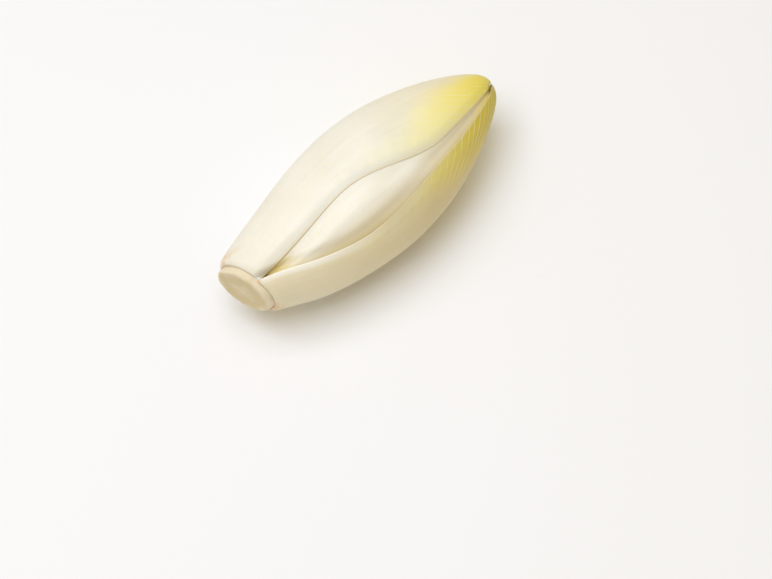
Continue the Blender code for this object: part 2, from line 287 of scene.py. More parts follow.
# Half angles round the spine: at the waist, and how much more at the foot and in the blade. Leaf 4's foot
# narrows instead, and reaches down between the first two.
OUTLINES = {
    0: (49 * DEG, 31 * DEG, 8.5 * DEG),
    1: (46 * DEG, 17 * DEG, 22 * DEG),
    3: (48 * DEG, -30 * DEG, 18 * DEG),
}
USUAL_OUTLINE = (48 * DEG, 6 * DEG, 18 * DEG)
FLARE_POWER = 1.6
WAIST_AT = 0.33  # share of the leaf's length
BLADE_FULL_AT = 0.68
TIP_ROUNDING_AT = 0.95
WRAP_GAIN = 0.045  # each leaf further in wraps this much further round
LEAN = 10 * DEG  # how far past the spine the leaf tips fold over
LEAN_FULL_AT = 2 / 3  # share of the way round the tip
RIB_FOOT = 4.6 * MM
RIB_TIP = 1.1 * MM
RIB_LOSS = 0.01  # inner leaves are thinner, by this share each
FOOT_THICKENING = 5 * MM  # up to here the midrib fills the room between its neighbours and the core
EDGE = 0.65 * MM
FOOT_EDGE_EXTRA = 0.7 * MM
EDGE_THINS_AT = 0.4
EDGE_DIP = 1.3 * MM  # how far the foot's edges turn in towards the stem
EDGE_DIP_POWER = 5
TOE_LENGTH = 2.2 * MM  # the rounded lower end of a leaf
TOE_DEPTH = 1.6 * MM
MOST_TOE_DEPTH = 0.55  # share of the leaf's thickness
NARROWEST = 7 * DEG  # half angle of the blunt end of the tip
GAP = 0.5 * MM
GAP_GROWTH = 0.09 * MM  # more of a gap for each leaf further in
COVER_REACH = 2.2 * MM  # how far past a leaf's edge the next one stays fully under it
COVER_FADE = 5.5 * MM  # length of the slope beside the edge, from one level to the next
FADE_GROWTH = 1.8 * MM
LEAVES_ON_TOP = 3  # round these the cover fades as fast at the narrow tip as at the belly
TOP_TIP_FADE = 3  # and this many times faster past their tips


class Leaf:
    """One leaf's place and size. index is 0 for the outermost, and space is what the leaves over it leave."""

    def __init__(self, index, space):
        self.index = index
        self.space = space
        self.azimuth = FIRST_AZIMUTH + index * DIVERGENCE
        self.tip = TOP_TIPS.get(index, TIP_STATION - TIP_DROP * index**3)
        self.on_top = index < LEAVES_ON_TOP
        self.waist, self.flare, self.spread = OUTLINES.get(index, USUAL_OUTLINE)
        self.wrap = 1 + WRAP_GAIN * index
        self.rib_scale = 1 - RIB_LOSS * index
        self.foot = SECOND_FOOT if index else FIRST_FOOT
        while index > 1 and self.least_room() < FOOT_ROOM and self.foot < HIGHEST_FOOT:
            self.foot += FOOT_STEP

    def least_room(self):
        """The thinnest place left for the leaf, between its outer neighbours and the core."""
        columns, rows = ROOM_SAMPLES
        across, along = np.meshgrid(np.linspace(-1, 1, columns), np.linspace(0, 1, rows))
        station = self.foot + along * (CORE_TOP - self.foot)
        azimuth = self.azimuth + across * self.half_angle(station)
        return float(self.room(station, azimuth, across).min())

    def along(self, station):
        """Share of the leaf's length, from its foot to its tip."""
        return np.clip((station - self.foot) / (self.tip - self.foot), 0, 1)

    def half_angle(self, station):
        """Half the angle that the leaf spans round the spine."""
        s = self.along(station)
        angle = self.waist + self.flare * np.clip(1 - s / WAIST_AT, 0, None) ** FLARE_POWER
        angle = angle + self.spread * smooth((s - WAIST_AT) / (BLADE_FULL_AT - WAIST_AT))
        closing = np.clip((s - TIP_ROUNDING_AT) / (1 - TIP_ROUNDING_AT), 0, 1)
        return self.wrap * angle * np.sqrt(1 - closing**2)

    def edge_dip(self, station, across):
        """How far the edges of the foot turn in. Those of the outermost leaf stand out as a lip."""
        if self.index == 0 or self.index >= SHOWN_LEAVES:
            return 0 * station
        low = np.clip(1 - self.along(station) / EDGE_THINS_AT, 0, None)
        return EDGE_DIP * low * np.abs(np.clip(across, -1, 1)) ** EDGE_DIP_POWER

    def room(self, station, azimuth, across):
        """Depth between the leaf's outer face and the core."""
        free = self.space.depth(station, azimuth)
        return free - self.edge_dip(station, across) - core_radius(station) - CORE_GAP

    def thickness(self, station, azimuth, across):
        """Thick along the midrib and thin at the edges. across is -1 at one edge and 1 at the other."""
        s = self.along(station)
        edge = EDGE + FOOT_EDGE_EXTRA * np.clip(1 - s / EDGE_THINS_AT, 0, None)
        rib = (RIB_TIP + (RIB_FOOT - RIB_TIP) * (1 - s)) * self.rib_scale
        room = self.room(station, azimuth, across)
        filling = np.clip(1 - (station - self.foot) / FOOT_THICKENING, 0, 1) ** 2
        rib = rib + filling * np.clip(room - rib, 0, None)
        bulge = np.clip(1 - across**2, 0, 1) ** (1 + 2 * s)
        return np.minimum(edge + np.clip(rib - edge, 0, None) * bulge, room)

    def lean(self, station, azimuth, angle_sign):
        """Station and azimuth after the fan of rays is turned over the tip, away from the leaf's own side."""
        tilt = ray(station)[1]
        way = (station - FAN_FULL) / (TOP_STATION - FAN_FULL)
        turn = angle_sign * LEAN * smooth(way / LEAN_FULL_AT)
        out = np.cos(tilt) * np.cos(azimuth - self.azimuth)
        side = np.cos(tilt) * np.sin(azimuth - self.azimuth)
        up = np.sin(tilt)
        new_out = out * np.cos(turn) - up * np.sin(turn)
        new_up = np.clip(out * np.sin(turn) + up * np.cos(turn), -1, 1)
        new_station = station_of_tilt(np.arcsin(np.clip(new_up, 0, 1)))
        new_azimuth = self.azimuth + np.arctan2(side, new_out)
        moved = turn != 0
        return np.where(moved, new_station, station), np.where(moved, new_azimuth, azimuth)

    def space_taken(self, station, azimuth):
        """How much of the space inside the head's outline this leaf uses up, at a place on the head."""
        own_station, own_azimuth = self.lean(station, azimuth, -1)
        angle = (own_azimuth - self.azimuth + math.pi) % (2 * math.pi) - math.pi
        half = self.half_angle(own_station)
        across = angle / np.maximum(half, 1e-6)
        scale = HEAD_RADIUS if self.on_top else ring_radius(own_station)
        beside = (np.abs(angle) - half) * scale
        past_tip = (own_station - self.tip) * (TOP_TIP_FADE if self.on_top else 1)
        beyond = np.maximum(past_tip, self.foot - own_station)
        fade = COVER_FADE + self.index * FADE_GROWTH
        cover = 1 - smooth((np.maximum(beside, beyond) - COVER_REACH) / fade)
        taken = self.thickness(station, azimuth, across) + self.edge_dip(own_station, across)
        return cover * (np.maximum(taken, 0) + GAP + self.index * GAP_GROWTH)


# %% [markdown]
# ## From a flat slab to a leaf
# A leaf could be a surface with a Solidify modifier, but its thickness changes from place to place. So each
# leaf starts as a flat slab with a grid on both faces, and every vertex is carried to its place by the
# leaf's own formulas. The grid is crowded towards the edges, where the leaf is rounded.

# %% The slab
EDGE_CROWDING = 0.9  # 0 spaces the grid evenly, and 1 crowds it to both ends as a cosine does
ROW_CROWDING = 0.55


def crowd(x, share):
    """Moves values between 0 and 1 towards both ends."""
    return x + share * ((1 - np.cos(math.pi * x)) / 2 - x)


def slab(name, columns, rows):
    """A flat closed slab of unit size, with a grid on both faces, and where each vertex is on it."""
    bm = bmesh.new()
    bmesh.ops.create_grid(bm, x_segments=columns, y_segments=rows, size=0.5)
    bmesh.ops.solidify(bm, geom=bm.faces[:], thickness=1.0)
    mesh = bpy.data.meshes.new(name)
    bm.to_mesh(mesh)
    bm.free()
    flat = np.empty(len(mesh.vertices) * 3)
    mesh.vertices.foreach_get("co", flat)
    flat = flat.reshape(-1, 3)
    across = crowd(flat[:, 0] + 0.5, EDGE_CROWDING) * 2 - 1
    along = crowd(flat[:, 1] + 0.5, ROW_CROWDING)
    depth = flat[:, 2] - flat[:, 2].min()
    return mesh, across, along, depth


# %% [markdown]
# ## Relief
# A leaf isn't as smooth as its formula. Soft ribs run along the midrib's back, and the blade's lower edge
# is lightly crinkled where it leaves the midrib. A leaf thins to a soft margin, and the margin presses on
# the leaf under it, so hardly a gap shows between them.

# %% Relief on a leaf's outer face
LEAF_PHASE = 1.7  # sets the waves of one leaf off from the next one's
RIB_COUNT = 5
RIB_RELIEF = 0.12 * MM
RIB_BAND = 0.8  # share of the leaf's width that has ribs
RIB_WANDER = 0.08
WANDER_LENGTH = 19 * MM
RIB_FAINTEST = 0.35
FADING_LENGTH = 31 * MM  # over about this length a rib grows faint and strong again
RIBS_BEGIN = 0.08  # shares of the leaf's length
RIBS_END = (0.75, 0.95)
CRINKLE = 0.28 * MM
CRINKLE_LENGTH = 3.4 * MM
LONG_CRINKLES = 2.3  # times longer: crossed with the short ones, so that none looks like the next
CRINKLES_BEGIN = (0.30, 0.40)
CRINKLES_END = (0.58, 0.72)
CRINKLES_ACROSS = 0.80  # the middle of the crinkled band, from midrib to edge
CRINKLE_BAND = 0.13


def rise(x, start_and_end):
    """0 up to the start, and 1 from the end."""
    start, end = start_and_end
    return smooth((x - start) / (end - start))


def relief(leaf, s, station, across):
    """How far the outer face sinks: ribs along the leaf, and crinkles where the blade begins."""
    phase = leaf.index * LEAF_PHASE
    wander = RIB_WANDER * np.sin(station / WANDER_LENGTH + phase)
    ribs = 0.5 + 0.5 * np.cos(2 * math.pi * RIB_COUNT * (across + wander) + phase)
    middle = np.clip(1 - (across / RIB_BAND) ** 2, 0, 1)
    strength = RIB_FAINTEST + (1 - RIB_FAINTEST) * np.sin(station / FADING_LENGTH + 2 * across + phase) ** 2
    ribbed = smooth(s / RIBS_BEGIN) * (1 - rise(s, RIBS_END))
    crinkled = rise(s, CRINKLES_BEGIN) * (1 - rise(s, CRINKLES_END))
    edge = np.exp(-(((np.abs(across) - CRINKLES_ACROSS) / CRINKLE_BAND) ** 2))
    waves = np.sin(station / CRINKLE_LENGTH * 2 * math.pi + 9 * across + phase)
    waves = waves * np.sin(station / (CRINKLE_LENGTH * LONG_CRINKLES) * 2 * math.pi - 7 * across)
    return RIB_RELIEF * ribs * middle * strength * ribbed + CRINKLE * (0.5 + 0.5 * waves) * crinkled * edge


# %% Vertices of a leaf
MARGIN_WIDTH = 4.5 * MM
MARGIN_SINK = 0.85 * MM
LIP_SINK = 0.30 * MM  # the outermost leaf's lower edges stand out instead
LIP_END = 0.40  # share of the leaf's length
PRESSED = 0.92  # share of the gap under a leaf that its margins and foot fill
LEAST_RING = 4 * MM  # distances from the edge are measured round a ring of at least this radius
LEAST_ROUNDING = 0.1 * MM
ROUNDED = 0.96  # 1 would round the edges to a full half circle, whose last faces have no width


def leaf_places(leaf, across, along, depth):
    """Where each vertex of the slab comes to lie on the leaf."""
    own_station = leaf.foot + along * (leaf.tip - leaf.foot)
    half = np.maximum(leaf.half_angle(own_station), NARROWEST)
    station, azimuth = leaf.lean(own_station, leaf.azimuth + across * half, 1)
    outer = leaf.space.depth(station, azimuth) - leaf.edge_dip(own_station, across)
    thickness = leaf.thickness(station, azimuth, across)
    toe = np.clip(1 - (own_station - leaf.foot) / TOE_LENGTH, 0, 1)
    toe_rounding = np.minimum(TOE_DEPTH * (1 - np.sqrt(1 - toe**2)), MOST_TOE_DEPTH * thickness)

    from_edge = (1 - np.abs(across)) * half * np.maximum(ring_radius(own_station), LEAST_RING)
    from_edge = np.minimum(from_edge, (1 - along) * (leaf.tip - leaf.foot))
    margin = 1 - smooth(from_edge / MARGIN_WIDTH)
    low_end = 1 - smooth((own_station - leaf.foot) / FOOT_THICKENING)
    gap = GAP + leaf.index * GAP_GROWTH
    lip = (1 - smooth(along / LIP_END)) if leaf.index == 0 else 0
    sink = MARGIN_SINK + (LIP_SINK - MARGIN_SINK) * lip
    top = outer - toe_rounding - sink * margin
    top = top - relief(leaf, leaf.along(own_station), own_station, across) * (1 - margin)
    bottom = outer - thickness - PRESSED * gap * np.maximum(margin, low_end)

    radius = (top - bottom) / 2
    near = np.clip(1 - from_edge / np.maximum(radius, LEAST_ROUNDING), 0, 1)
    rim_rounding = radius * (1 - np.sqrt(1 - near**2)) * ROUNDED
    distance = np.where(depth < 0.5, top - rim_rounding, bottom + rim_rounding)
    start, tilt = ray(station)
    places = in_the_head(start + distance * np.sin(tilt), distance * np.cos(tilt), azimuth)
    places[:, 2] = np.maximum(places[:, 2], PLAIN_BOX[0][2])
    return places


# %% Mesh of a leaf
def finish_mesh(mesh, places, across, along):
    """Puts the vertices in place, turns the faces outward, and stores where each corner is on the leaf."""
    mesh.vertices.foreach_set("co", places.ravel())
    mesh.update()
    corners = np.empty(len(mesh.loops), dtype=np.int32)
    mesh.loops.foreach_get("vertex_index", corners)
    uv = mesh.uv_layers.new(name="growth")
    uv.data.foreach_set("uv", np.stack([across[corners] * 0.5 + 0.5, along[corners]], axis=1).ravel())
    bm = bmesh.new()
    bm.from_mesh(mesh)
    if bm.calc_volume(signed=True) < 0:
        bmesh.ops.reverse_faces(bm, faces=bm.faces[:])
    bm.to_mesh(mesh)
    bm.free()
    mesh.shade_smooth()


# %% [markdown]
# ## Colours and nodes
# Colours are written as on a paint chart, in hex, and one function turns them to the linear values that
# shaders use. One more function adds any shader node, with its settings and its links.

# %% Helpers for materials
def linear(hex_colour):
    """An sRGB colour such as '#F4EFDE', as linear RGBA."""
    parts = [int(hex_colour[i : i + 2], 16) / 255 for i in (1, 3, 5)]
    return (*[p / 12.92 if p <= 0.04045 else ((p + 0.055) / 1.055) ** 2.4 for p in parts], 1)


def add(tree, kind, inputs=None, **settings):
    """Adds a node. inputs holds a value or another node's output for each socket."""
    node = tree.nodes.new(kind)
    for name, value in settings.items():
        setattr(node, name, value)
    for socket, value in (inputs or {}).items():
        if isinstance(value, bpy.types.NodeSocket):
            tree.links.new(value, node.inputs[socket])
        else:
            node.inputs[socket].default_value = value
    return node


def stops(ramp, colours):
    """Sets a colour ramp's stops from pairs of position and hex colour."""
    elements = ramp.color_ramp.elements
    while len(elements) < len(colours):
        elements.new(1.0)
    for element, (position, colour) in zip(elements, colours):
        element.position = position
        element.color = linear(colour)


# %% [markdown]
# ## The skin of a leaf
# Chicory grown in the dark makes no green, so the midrib is ivory and the blade is yellow, and only the tip
# that met some light is greenish. The skin is thin and waxy over watery flesh. Light goes in a little way
# and comes out softened, which is subsurface scattering. Its gloss is a broad sheen, not a mirror.
#
# An image could be wrapped round each leaf, but a pattern made from numbers stays sharp at every distance.
# It follows the leaf, from edge to edge and from foot to tip. Soft clouds make it uneven, and fine streaks
# are the fibres.

# %% Where a point is on its leaf
FIBRES_ACROSS = 60  # how many times the streaks change from edge to edge, and from foot to tip
FIBRES_ALONG = 3.5
CLOUD_SIZE = 16 * MM
CELL_SIZE = 1.1 * MM  # much coarser than a real cell, so that it shows
CLOUD_SHIFT = 3.1  # from each leaf's noise to the next one's, so that no two leaves look alike
FIBRE_SHIFT = 2.3


def leaf_patterns(tree, number):
    """Nodes' outputs by name: the place on the leaf, and three noises for what is uneven on it."""
    place = add(tree, "ShaderNodeUVMap", uv_map="growth").outputs[0]
    split = add(tree, "ShaderNodeSeparateXYZ", {0: place})
    across = add(
        tree, "ShaderNodeMath", {0: split.outputs[0], 1: 2.0, 2: -1.0}, operation="MULTIPLY_ADD"
    ).outputs[0]
    off_rib = add(tree, "ShaderNodeMath", {0: across}, operation="ABSOLUTE").outputs[0]
    spot = add(tree, "ShaderNodeTexCoord").outputs["Object"]
    clouds = add(
        tree,
        "ShaderNodeTexNoise",
        {"Vector": spot, "W": number * CLOUD_SHIFT, "Scale": 1 / CLOUD_SIZE, "Detail": 3.0},
        noise_dimensions="4D",
    )
    stretched = add(
        tree,
        "ShaderNodeMapping",
        {
            "Vector": place,
            "Location": (number * FIBRE_SHIFT, 0, 0),
            "Scale": (FIBRES_ACROSS, FIBRES_ALONG, 1),
        },
    )
    fibres = add(tree, "ShaderNodeTexNoise", {"Vector": stretched.outputs[0], "Scale": 1.0, "Detail": 4.0})
    cells = add(tree, "ShaderNodeTexNoise", {"Vector": spot, "Scale": 1 / CELL_SIZE, "Detail": 2.0})
    return {
        "across": across,
        "off_rib": off_rib,
        "along": split.outputs[1],
        "clouds": clouds.outputs["Fac"],
        "fibres": fibres.outputs["Fac"],
        "cells": cells.outputs["Fac"],
    }


# %% [markdown]
# ## Blade and veins
# The blade starts at the edges half way up, and closes in on the midrib towards the tip. So the midrib's
# half width is a falling line, and the blade is what lies past it, with a cloudy border. Pale veins leave
# the midrib and curve out and up to the edge. They are a row of bands along the leaf, bent more the further
# they are from the midrib.

# %% Distances from the midrib and from the nearest vein
RIB_NARROWS = (0.40, 0.97)  # shares of the leaf's length
RIB_HALF_WIDTHS = (0.86, 0.06)  # there, as shares of the leaf's half width
RAGGEDNESS = 0.5
LEAF_LENGTH = 134 * MM
VEIN_SPACING = 5.5 * MM
VEIN_BEND = -11.0  # taken off the count at the edge, so a vein meets it that many spacings further up
VEIN_BEND_POWER = 0.5
VEIN_WAVER = 1.6
print("veins from foot to tip:", round(LEAF_LENGTH / VEIN_SPACING))


def add_blade_distances(tree, made):
    """Adds past_rib, how far a point is outside the midrib, and off_vein, 0 on a vein and 0.5 between two."""
    rib = add(
        tree,
        "ShaderNodeMapRange",
        {
            "Value": made["along"],
            "From Min": RIB_NARROWS[0],
            "From Max": RIB_NARROWS[1],
            "To Min": RIB_HALF_WIDTHS[0],
            "To Max": RIB_HALF_WIDTHS[1],
        },
    )
    past = add(tree, "ShaderNodeMath", {0: made["off_rib"], 1: rib.outputs[0]}, operation="SUBTRACT")
    made["past_rib"] = add(
        tree,
        "ShaderNodeMath",
        {0: made["clouds"], 1: RAGGEDNESS, 2: past.outputs[0]},
        operation="MULTIPLY_ADD",
    ).outputs[0]

    bend = add(tree, "ShaderNodeMath", {0: made["off_rib"], 1: VEIN_BEND_POWER}, operation="POWER")
    vein_number = add(
        tree, "ShaderNodeMath", {0: made["along"], 1: LEAF_LENGTH / VEIN_SPACING}, operation="MULTIPLY"
    ).outputs[0]
    for source, amount in ((bend.outputs[0], VEIN_BEND), (made["clouds"], VEIN_WAVER)):
        vein_number = add(
            tree, "ShaderNodeMath", {0: source, 1: amount, 2: vein_number}, operation="MULTIPLY_ADD"
        ).outputs[0]
    made["off_vein"] = add(tree, "ShaderNodeMath", {0: vein_number, 1: 0.5}, operation="PINGPONG").outputs[0]


# %% [markdown]
# ## Bands
# Every feature of the skin is a band: a value that rises or falls smoothly while something else goes from a
# start to an end. Most leaves share the same bands. The first two leaves have an open foot with tan
# patches, where the sheltered ones get painted shade, golden all over. The outermost one also has a painted
# highlight along its lower edges, the second one pales at its margins half way up, and the fourth one gets
# painted shade, cream, on its side towards the first. Every leaf has painted shade along its margins.

# %% Bands of the leaves
# By name: what goes from start to end, the start, the end, the value before, and the value after.
USUAL_BANDS = {
    "outside_rib": ("past_rib", 0.02, 0.55, 0.0, 1.0),
    "high_up": ("along", 0.25, 0.55, 0.0, 1.0),
    "on_vein": ("off_vein", 0.0, 0.12, 1.0, 0.0),
    # Painted shade along every margin, where it meets the leaf under it.
    "edge_shade": ("off_rib", 0.93, 1.0, 0.0, 0.6),
    "low_down": ("along", 0.0, 0.13, 0.9, 0.0),
    "patches": ("clouds", 0.0, 0.4, 0.0, 1.0),
    "at_cut": ("along", 0.001, 0.008, 0.75, 0.0),
    "broken": ("clouds", 0.42, 0.58, 0.0, 1.0),
}
OPEN_FOOT_BANDS = {
    "low_down": ("along", 0.0, 0.07, 0.9, 0.0),
    "patches": ("clouds", 0.46, 0.62, 0.0, 1.0),
}
OWN_BANDS = {
    1: OPEN_FOOT_BANDS
    | {
        "high_up": ("along", 0.42, 0.62, 0.0, 1.0),
        "below_blade": ("along", 0.12, 0.42, 0.9, 0.0),
        "near_edge": ("off_rib", 0.84, 0.96, 0.0, 1.0),
    },
    2: OPEN_FOOT_BANDS
    | {
        "margin": ("off_rib", 0.82, 1.0, 0.0, 0.6),
        "half_way_up": ("along", 0.58, 0.80, 1.0, 0.0),
    },
    4: {"shaded": ("across", -0.15, 0.32, 0.0, 0.85)},
}
# By name: features that show only where two bands cross.
CROSSINGS = {
    "blade": ("outside_rib", "high_up"),
    # foot: tan browning on the open feet, and golden painted shade on the sheltered ones.
    "foot": ("low_down", "patches"),
    "scar": ("at_cut", "broken"),
    # lip: where the painted highlight goes, along the outermost leaf's lower edges.
    "lip": ("below_blade", "near_edge"),
    "pale_margin": ("margin", "half_way_up"),
}
print("bands that most leaves share:", ", ".join(USUAL_BANDS))


def add_bands(tree, made, number):
    """Adds the leaf's bands and crossings to what is made."""
    for name, (source, start, end, before, after) in (USUAL_BANDS | OWN_BANDS.get(number, {})).items():
        made[name] = add(
            tree,
            "ShaderNodeMapRange",
            {"Value": made[source], "From Min": start, "From Max": end, "To Min": before, "To Max": after},
            interpolation_type="SMOOTHSTEP",
        ).outputs[0]
    for name, (one, other) in CROSSINGS.items():
        if one in made and other in made:
            made[name] = add(
                tree, "ShaderNodeMath", {0: made[one], 1: made[other]}, operation="MULTIPLY"
            ).outputs[0]


# %% The strength of blade and veins
VEINS_FAINT = (0.35, 0.05)  # where the clouds are this low, the veins are this strong
VEINS_STRONG = (0.65, 0.6)


def add_veins(tree, made):
    """Takes the pale margin off the blade, and adds the veins on it, which are faint in some places."""
    if "pale_margin" in made:
        kept = add(tree, "ShaderNodeMath", {0: 1.0, 1: made["pale_margin"]}, operation="SUBTRACT")
        made["blade"] = add(
            tree, "ShaderNodeMath", {0: made["blade"], 1: kept.outputs[0]}, operation="MULTIPLY"
        ).outputs[0]
    here_and_there = add(
        tree,
        "ShaderNodeMapRange",
        {
            "Value": made["clouds"],
            "From Min": VEINS_FAINT[0],
            "From Max": VEINS_STRONG[0],
            "To Min": VEINS_FAINT[1],
            "To Max": VEINS_STRONG[1],
        },
    )
    made["vein"] = made["on_vein"]
    for strength in (made["blade"], here_and_there.outputs[0]):
        made["vein"] = add(
            tree, "ShaderNodeMath", {0: made["vein"], 1: strength}, operation="MULTIPLY"
        ).outputs[0]


# %% [markdown]
# ## Colours of a leaf
# The colours go on in layers, from the flesh up, as paint would. Ramps give the flesh and the yellow, which
# deepen from foot to tip. On the outermost leaf they darken further to tan and olive: its yellow is its own,
# and the darkening is painted shade on its flank, which turns away from the light.

# %% Layers of colour
IVORY = [(0.30, "#F0EDDF"), (0.70, "#F6F4EB")]
FIBRES = [(0.35, "#F1EBD9"), (0.65, "#FFFFFF")]
FIBRE_STRENGTH = 0.22
USUAL_FLESH = [(0.50, "#FFFFFF"), (0.95, "#F8F0CF")]
# The outermost leaf's ramps: its yellow is its own, and the tan and olive darkening is painted shade on its
# flank.
SHADED_FLESH = [(0.05, "#F7F1E0"), (0.35, "#F0E6C8"), (0.60, "#E6D7AC"), (0.85, "#DECB93")]
USUAL_YELLOW = [(0.50, "#FFF7D2"), (0.68, "#FFF3AE"), (0.84, "#FDE97E"), (0.94, "#F3DE5A"), (0.99, "#DFD050")]
SHADED_YELLOW = [(0.40, "#F3E6B4"), (0.60, "#E4D27C"), (0.78, "#D6C24C"), (0.94, "#CAB73C"), (0.99, "#BFAF40")]
VEIN = "#FBF6D6"
# Painted shade: a tan line along the margins, where each edge meets the leaf under it.
EDGE_SHADE = "#EFD9AE"
# Painted shade on the fourth leaf's side towards the first.
CREAM_SHADE = "#E5D7AC"
# Painted highlight on the outermost leaf's lower edges, which catch the light.
LIP_HIGHLIGHT = "#FAF7EE"
TAN_FOOT = "#E3B878"
# Painted shade: the feet of the sheltered leaves lie deep in crevices at the stem, and are painted golden.
SHADED_GOLDEN_FOOT = "#DCC566"
SCAR = "#E0B283"
OPEN_FEET = 2  # leaves whose foot is open to the air


def leaf_colour(tree, made, number):
    """The colour of the skin: each layer covers or tints those under it, as strongly as its factor says."""
    # The outermost leaf gets the ramps with painted shade in them.
    outermost_in_shade = number == 1
    ramps = {}
    for name, source, colours in (
        ("ivory", "clouds", IVORY),
        ("fibres", "fibres", FIBRES),
        ("flesh", "along", SHADED_FLESH if outermost_in_shade else USUAL_FLESH),
        ("yellow", "along", SHADED_YELLOW if outermost_in_shade else USUAL_YELLOW),
    ):
        ramp = add(tree, "ShaderNodeValToRGB", {"Fac": made[source]})
        stops(ramp, colours)
        ramps[name] = ramp.outputs[0]

    layers = [
        (FIBRE_STRENGTH, ramps["fibres"], "MULTIPLY"),
        (1.0, ramps["flesh"], "MULTIPLY"),
        (made["blade"], ramps["yellow"], "MIX"),
        (made["vein"], linear(VEIN), "MIX"),
        (made["edge_shade"], linear(EDGE_SHADE), "MIX"),
        (made.get("shaded"), linear(CREAM_SHADE), "MULTIPLY"),
        (made.get("lip"), linear(LIP_HIGHLIGHT), "MIX"),
        (made["foot"], linear(TAN_FOOT if number <= OPEN_FEET else SHADED_GOLDEN_FOOT), "MIX"),
        (made["scar"], linear(SCAR), "MIX"),
    ]
    colour = ramps["ivory"]
    for factor, layer, blending in layers:
        if factor is not None:
            colour = add(
                tree,
                "ShaderNodeMix",
                {"Factor": factor, "A": colour, "B": layer},
                data_type="RGBA",
                blend_type=blending,
            ).outputs[2]
    return colour


# %% [markdown]
# ## Surface of a leaf
# Fibres, veins and cells are too fine for the mesh, so a Bump node tilts the light on them. The fibres also
# make the gloss uneven. Watery flesh bends light a little more than water does, and red light goes deepest
# into it.

# %% Skin of a leaf
FLESH_IOR = 1.38
SKIN_ROUGHNESS = (0.34, 0.52)  # between the fibres, and on them
SKIN_RELIEF = 0.12 * MM
SKIN_RELIEF_STRENGTH = 0.35
FIBRE_SHARE = 0.7  # of the relief, beside a whole share for the veins
CELL_SHARE = 0.25
LIGHT_DEPTH = 2.0 * MM
LIGHT_SPREAD = (1.0, 0.8, 0.35)  # shares of that depth for red, green and blue light
LIGHT_LET_IN = 0.35


def leaf_skin(number):
    """Ivory midrib, yellow blade with pale veins, a greenish tip, and a tan scar at the foot."""
    material = bpy.data.materials.new(f"chicory_leaf_{number:02d}")
    material.use_nodes = True
    tree = material.node_tree
    tree.nodes.clear()

    made = leaf_patterns(tree, number)
    add_blade_distances(tree, made)
    add_bands(tree, made, number)
    add_veins(tree, made)

    height = made["vein"]
    for source, share in (("fibres", FIBRE_SHARE), ("cells", CELL_SHARE)):
        height = add(
            tree, "ShaderNodeMath", {0: made[source], 1: share, 2: height}, operation="MULTIPLY_ADD"
        ).outputs[0]
    bump = add(
        tree,
        "ShaderNodeBump",
        {"Height": height, "Strength": SKIN_RELIEF_STRENGTH, "Distance": SKIN_RELIEF},
    )
    smoothest, roughest = SKIN_ROUGHNESS
    gloss = add(
        tree, "ShaderNodeMapRange", {"Value": made["fibres"], "To Min": smoothest, "To Max": roughest}
    )
    shader = add(
        tree,
        "ShaderNodeBsdfPrincipled",
        {
            "Base Color": leaf_colour(tree, made, number),
            "Roughness": gloss.outputs[0],
            "Normal": bump.outputs[0],
            "IOR": FLESH_IOR,
            "Subsurface Weight": LIGHT_LET_IN,
            "Subsurface Radius": LIGHT_SPREAD,
            "Subsurface Scale": LIGHT_DEPTH,
        },
    )
    add(tree, "ShaderNodeOutputMaterial", {"Surface": shader.outputs[0]})
    return material


# %% [markdown]
# ## Make the leaves
# The leaves that show get a grid well under a millimetre wide. Those inside show only through the gaps, so
# they need less.

# %% Leaves
SHOWN_STEPS = (110, 190)  # segments across and along
HIDDEN_STEPS = (36, 60)


def make_leaf(leaf):
    """A leaf with its fine surface and skin, in place of its plain solid."""
    name = f"fine_leaf_{leaf.index + 1:02d}"
    columns, rows = SHOWN_STEPS if leaf.index < SHOWN_LEAVES else HIDDEN_STEPS
    mesh, across, along, depth = slab(name, columns, rows)
    finish_mesh(mesh, leaf_places(leaf, across, along, depth), across, along)
    mesh.materials.append(leaf_skin(leaf.index + 1))
    piece = bpy.data.objects.new(name, mesh)
    bpy.context.scene.collection.objects.link(piece)
    node = f"leaf_{leaf.index + 1:02d}"
    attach(piece, "root")
    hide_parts(node)
    return piece


space = Space()
for index in range(LEAF_COUNT):
    leaf = Leaf(index, space)
    piece = make_leaf(leaf)
    faces = len(piece.data.polygons)
    nodes = len(piece.active_material.node_tree.nodes)
    print(f"{piece.name}: foot at {leaf.foot / MM:.1f} mm, {faces} faces, {nodes} nodes in its skin")
    space = space.without(leaf)

# %% [markdown]
# ## The stump
# The stump was cut with a knife. Its face is nearly flat and a little sunken, with the rings of the trimmed
# leaf feet round a pale pith. Cut flesh dries and browns within hours, so the rings are tan. The core
# behind it is turned: one profile, from the middle of the face over the rim and up the cone, goes round the
# spine.

# %% Shape of the core
CORE_GRID = (160, 150)
CORE_ROW_POWER = 1.5  # crowds the rows up the side towards the stump
FACE_SHARE = 0.35  # of the profile's rows, for the cut face
SEAM_MERGE = 0.004 * MM
RIM_ROUNDING = 1.1 * MM
FACE_SINK = 0.25 * MM
RING_RELIEF = 0.05 * MM
RING_COUNT = 4
FACE_LUMPS = 0.35 * MM
RIM_LUMPS = 0.05  # share of the radius


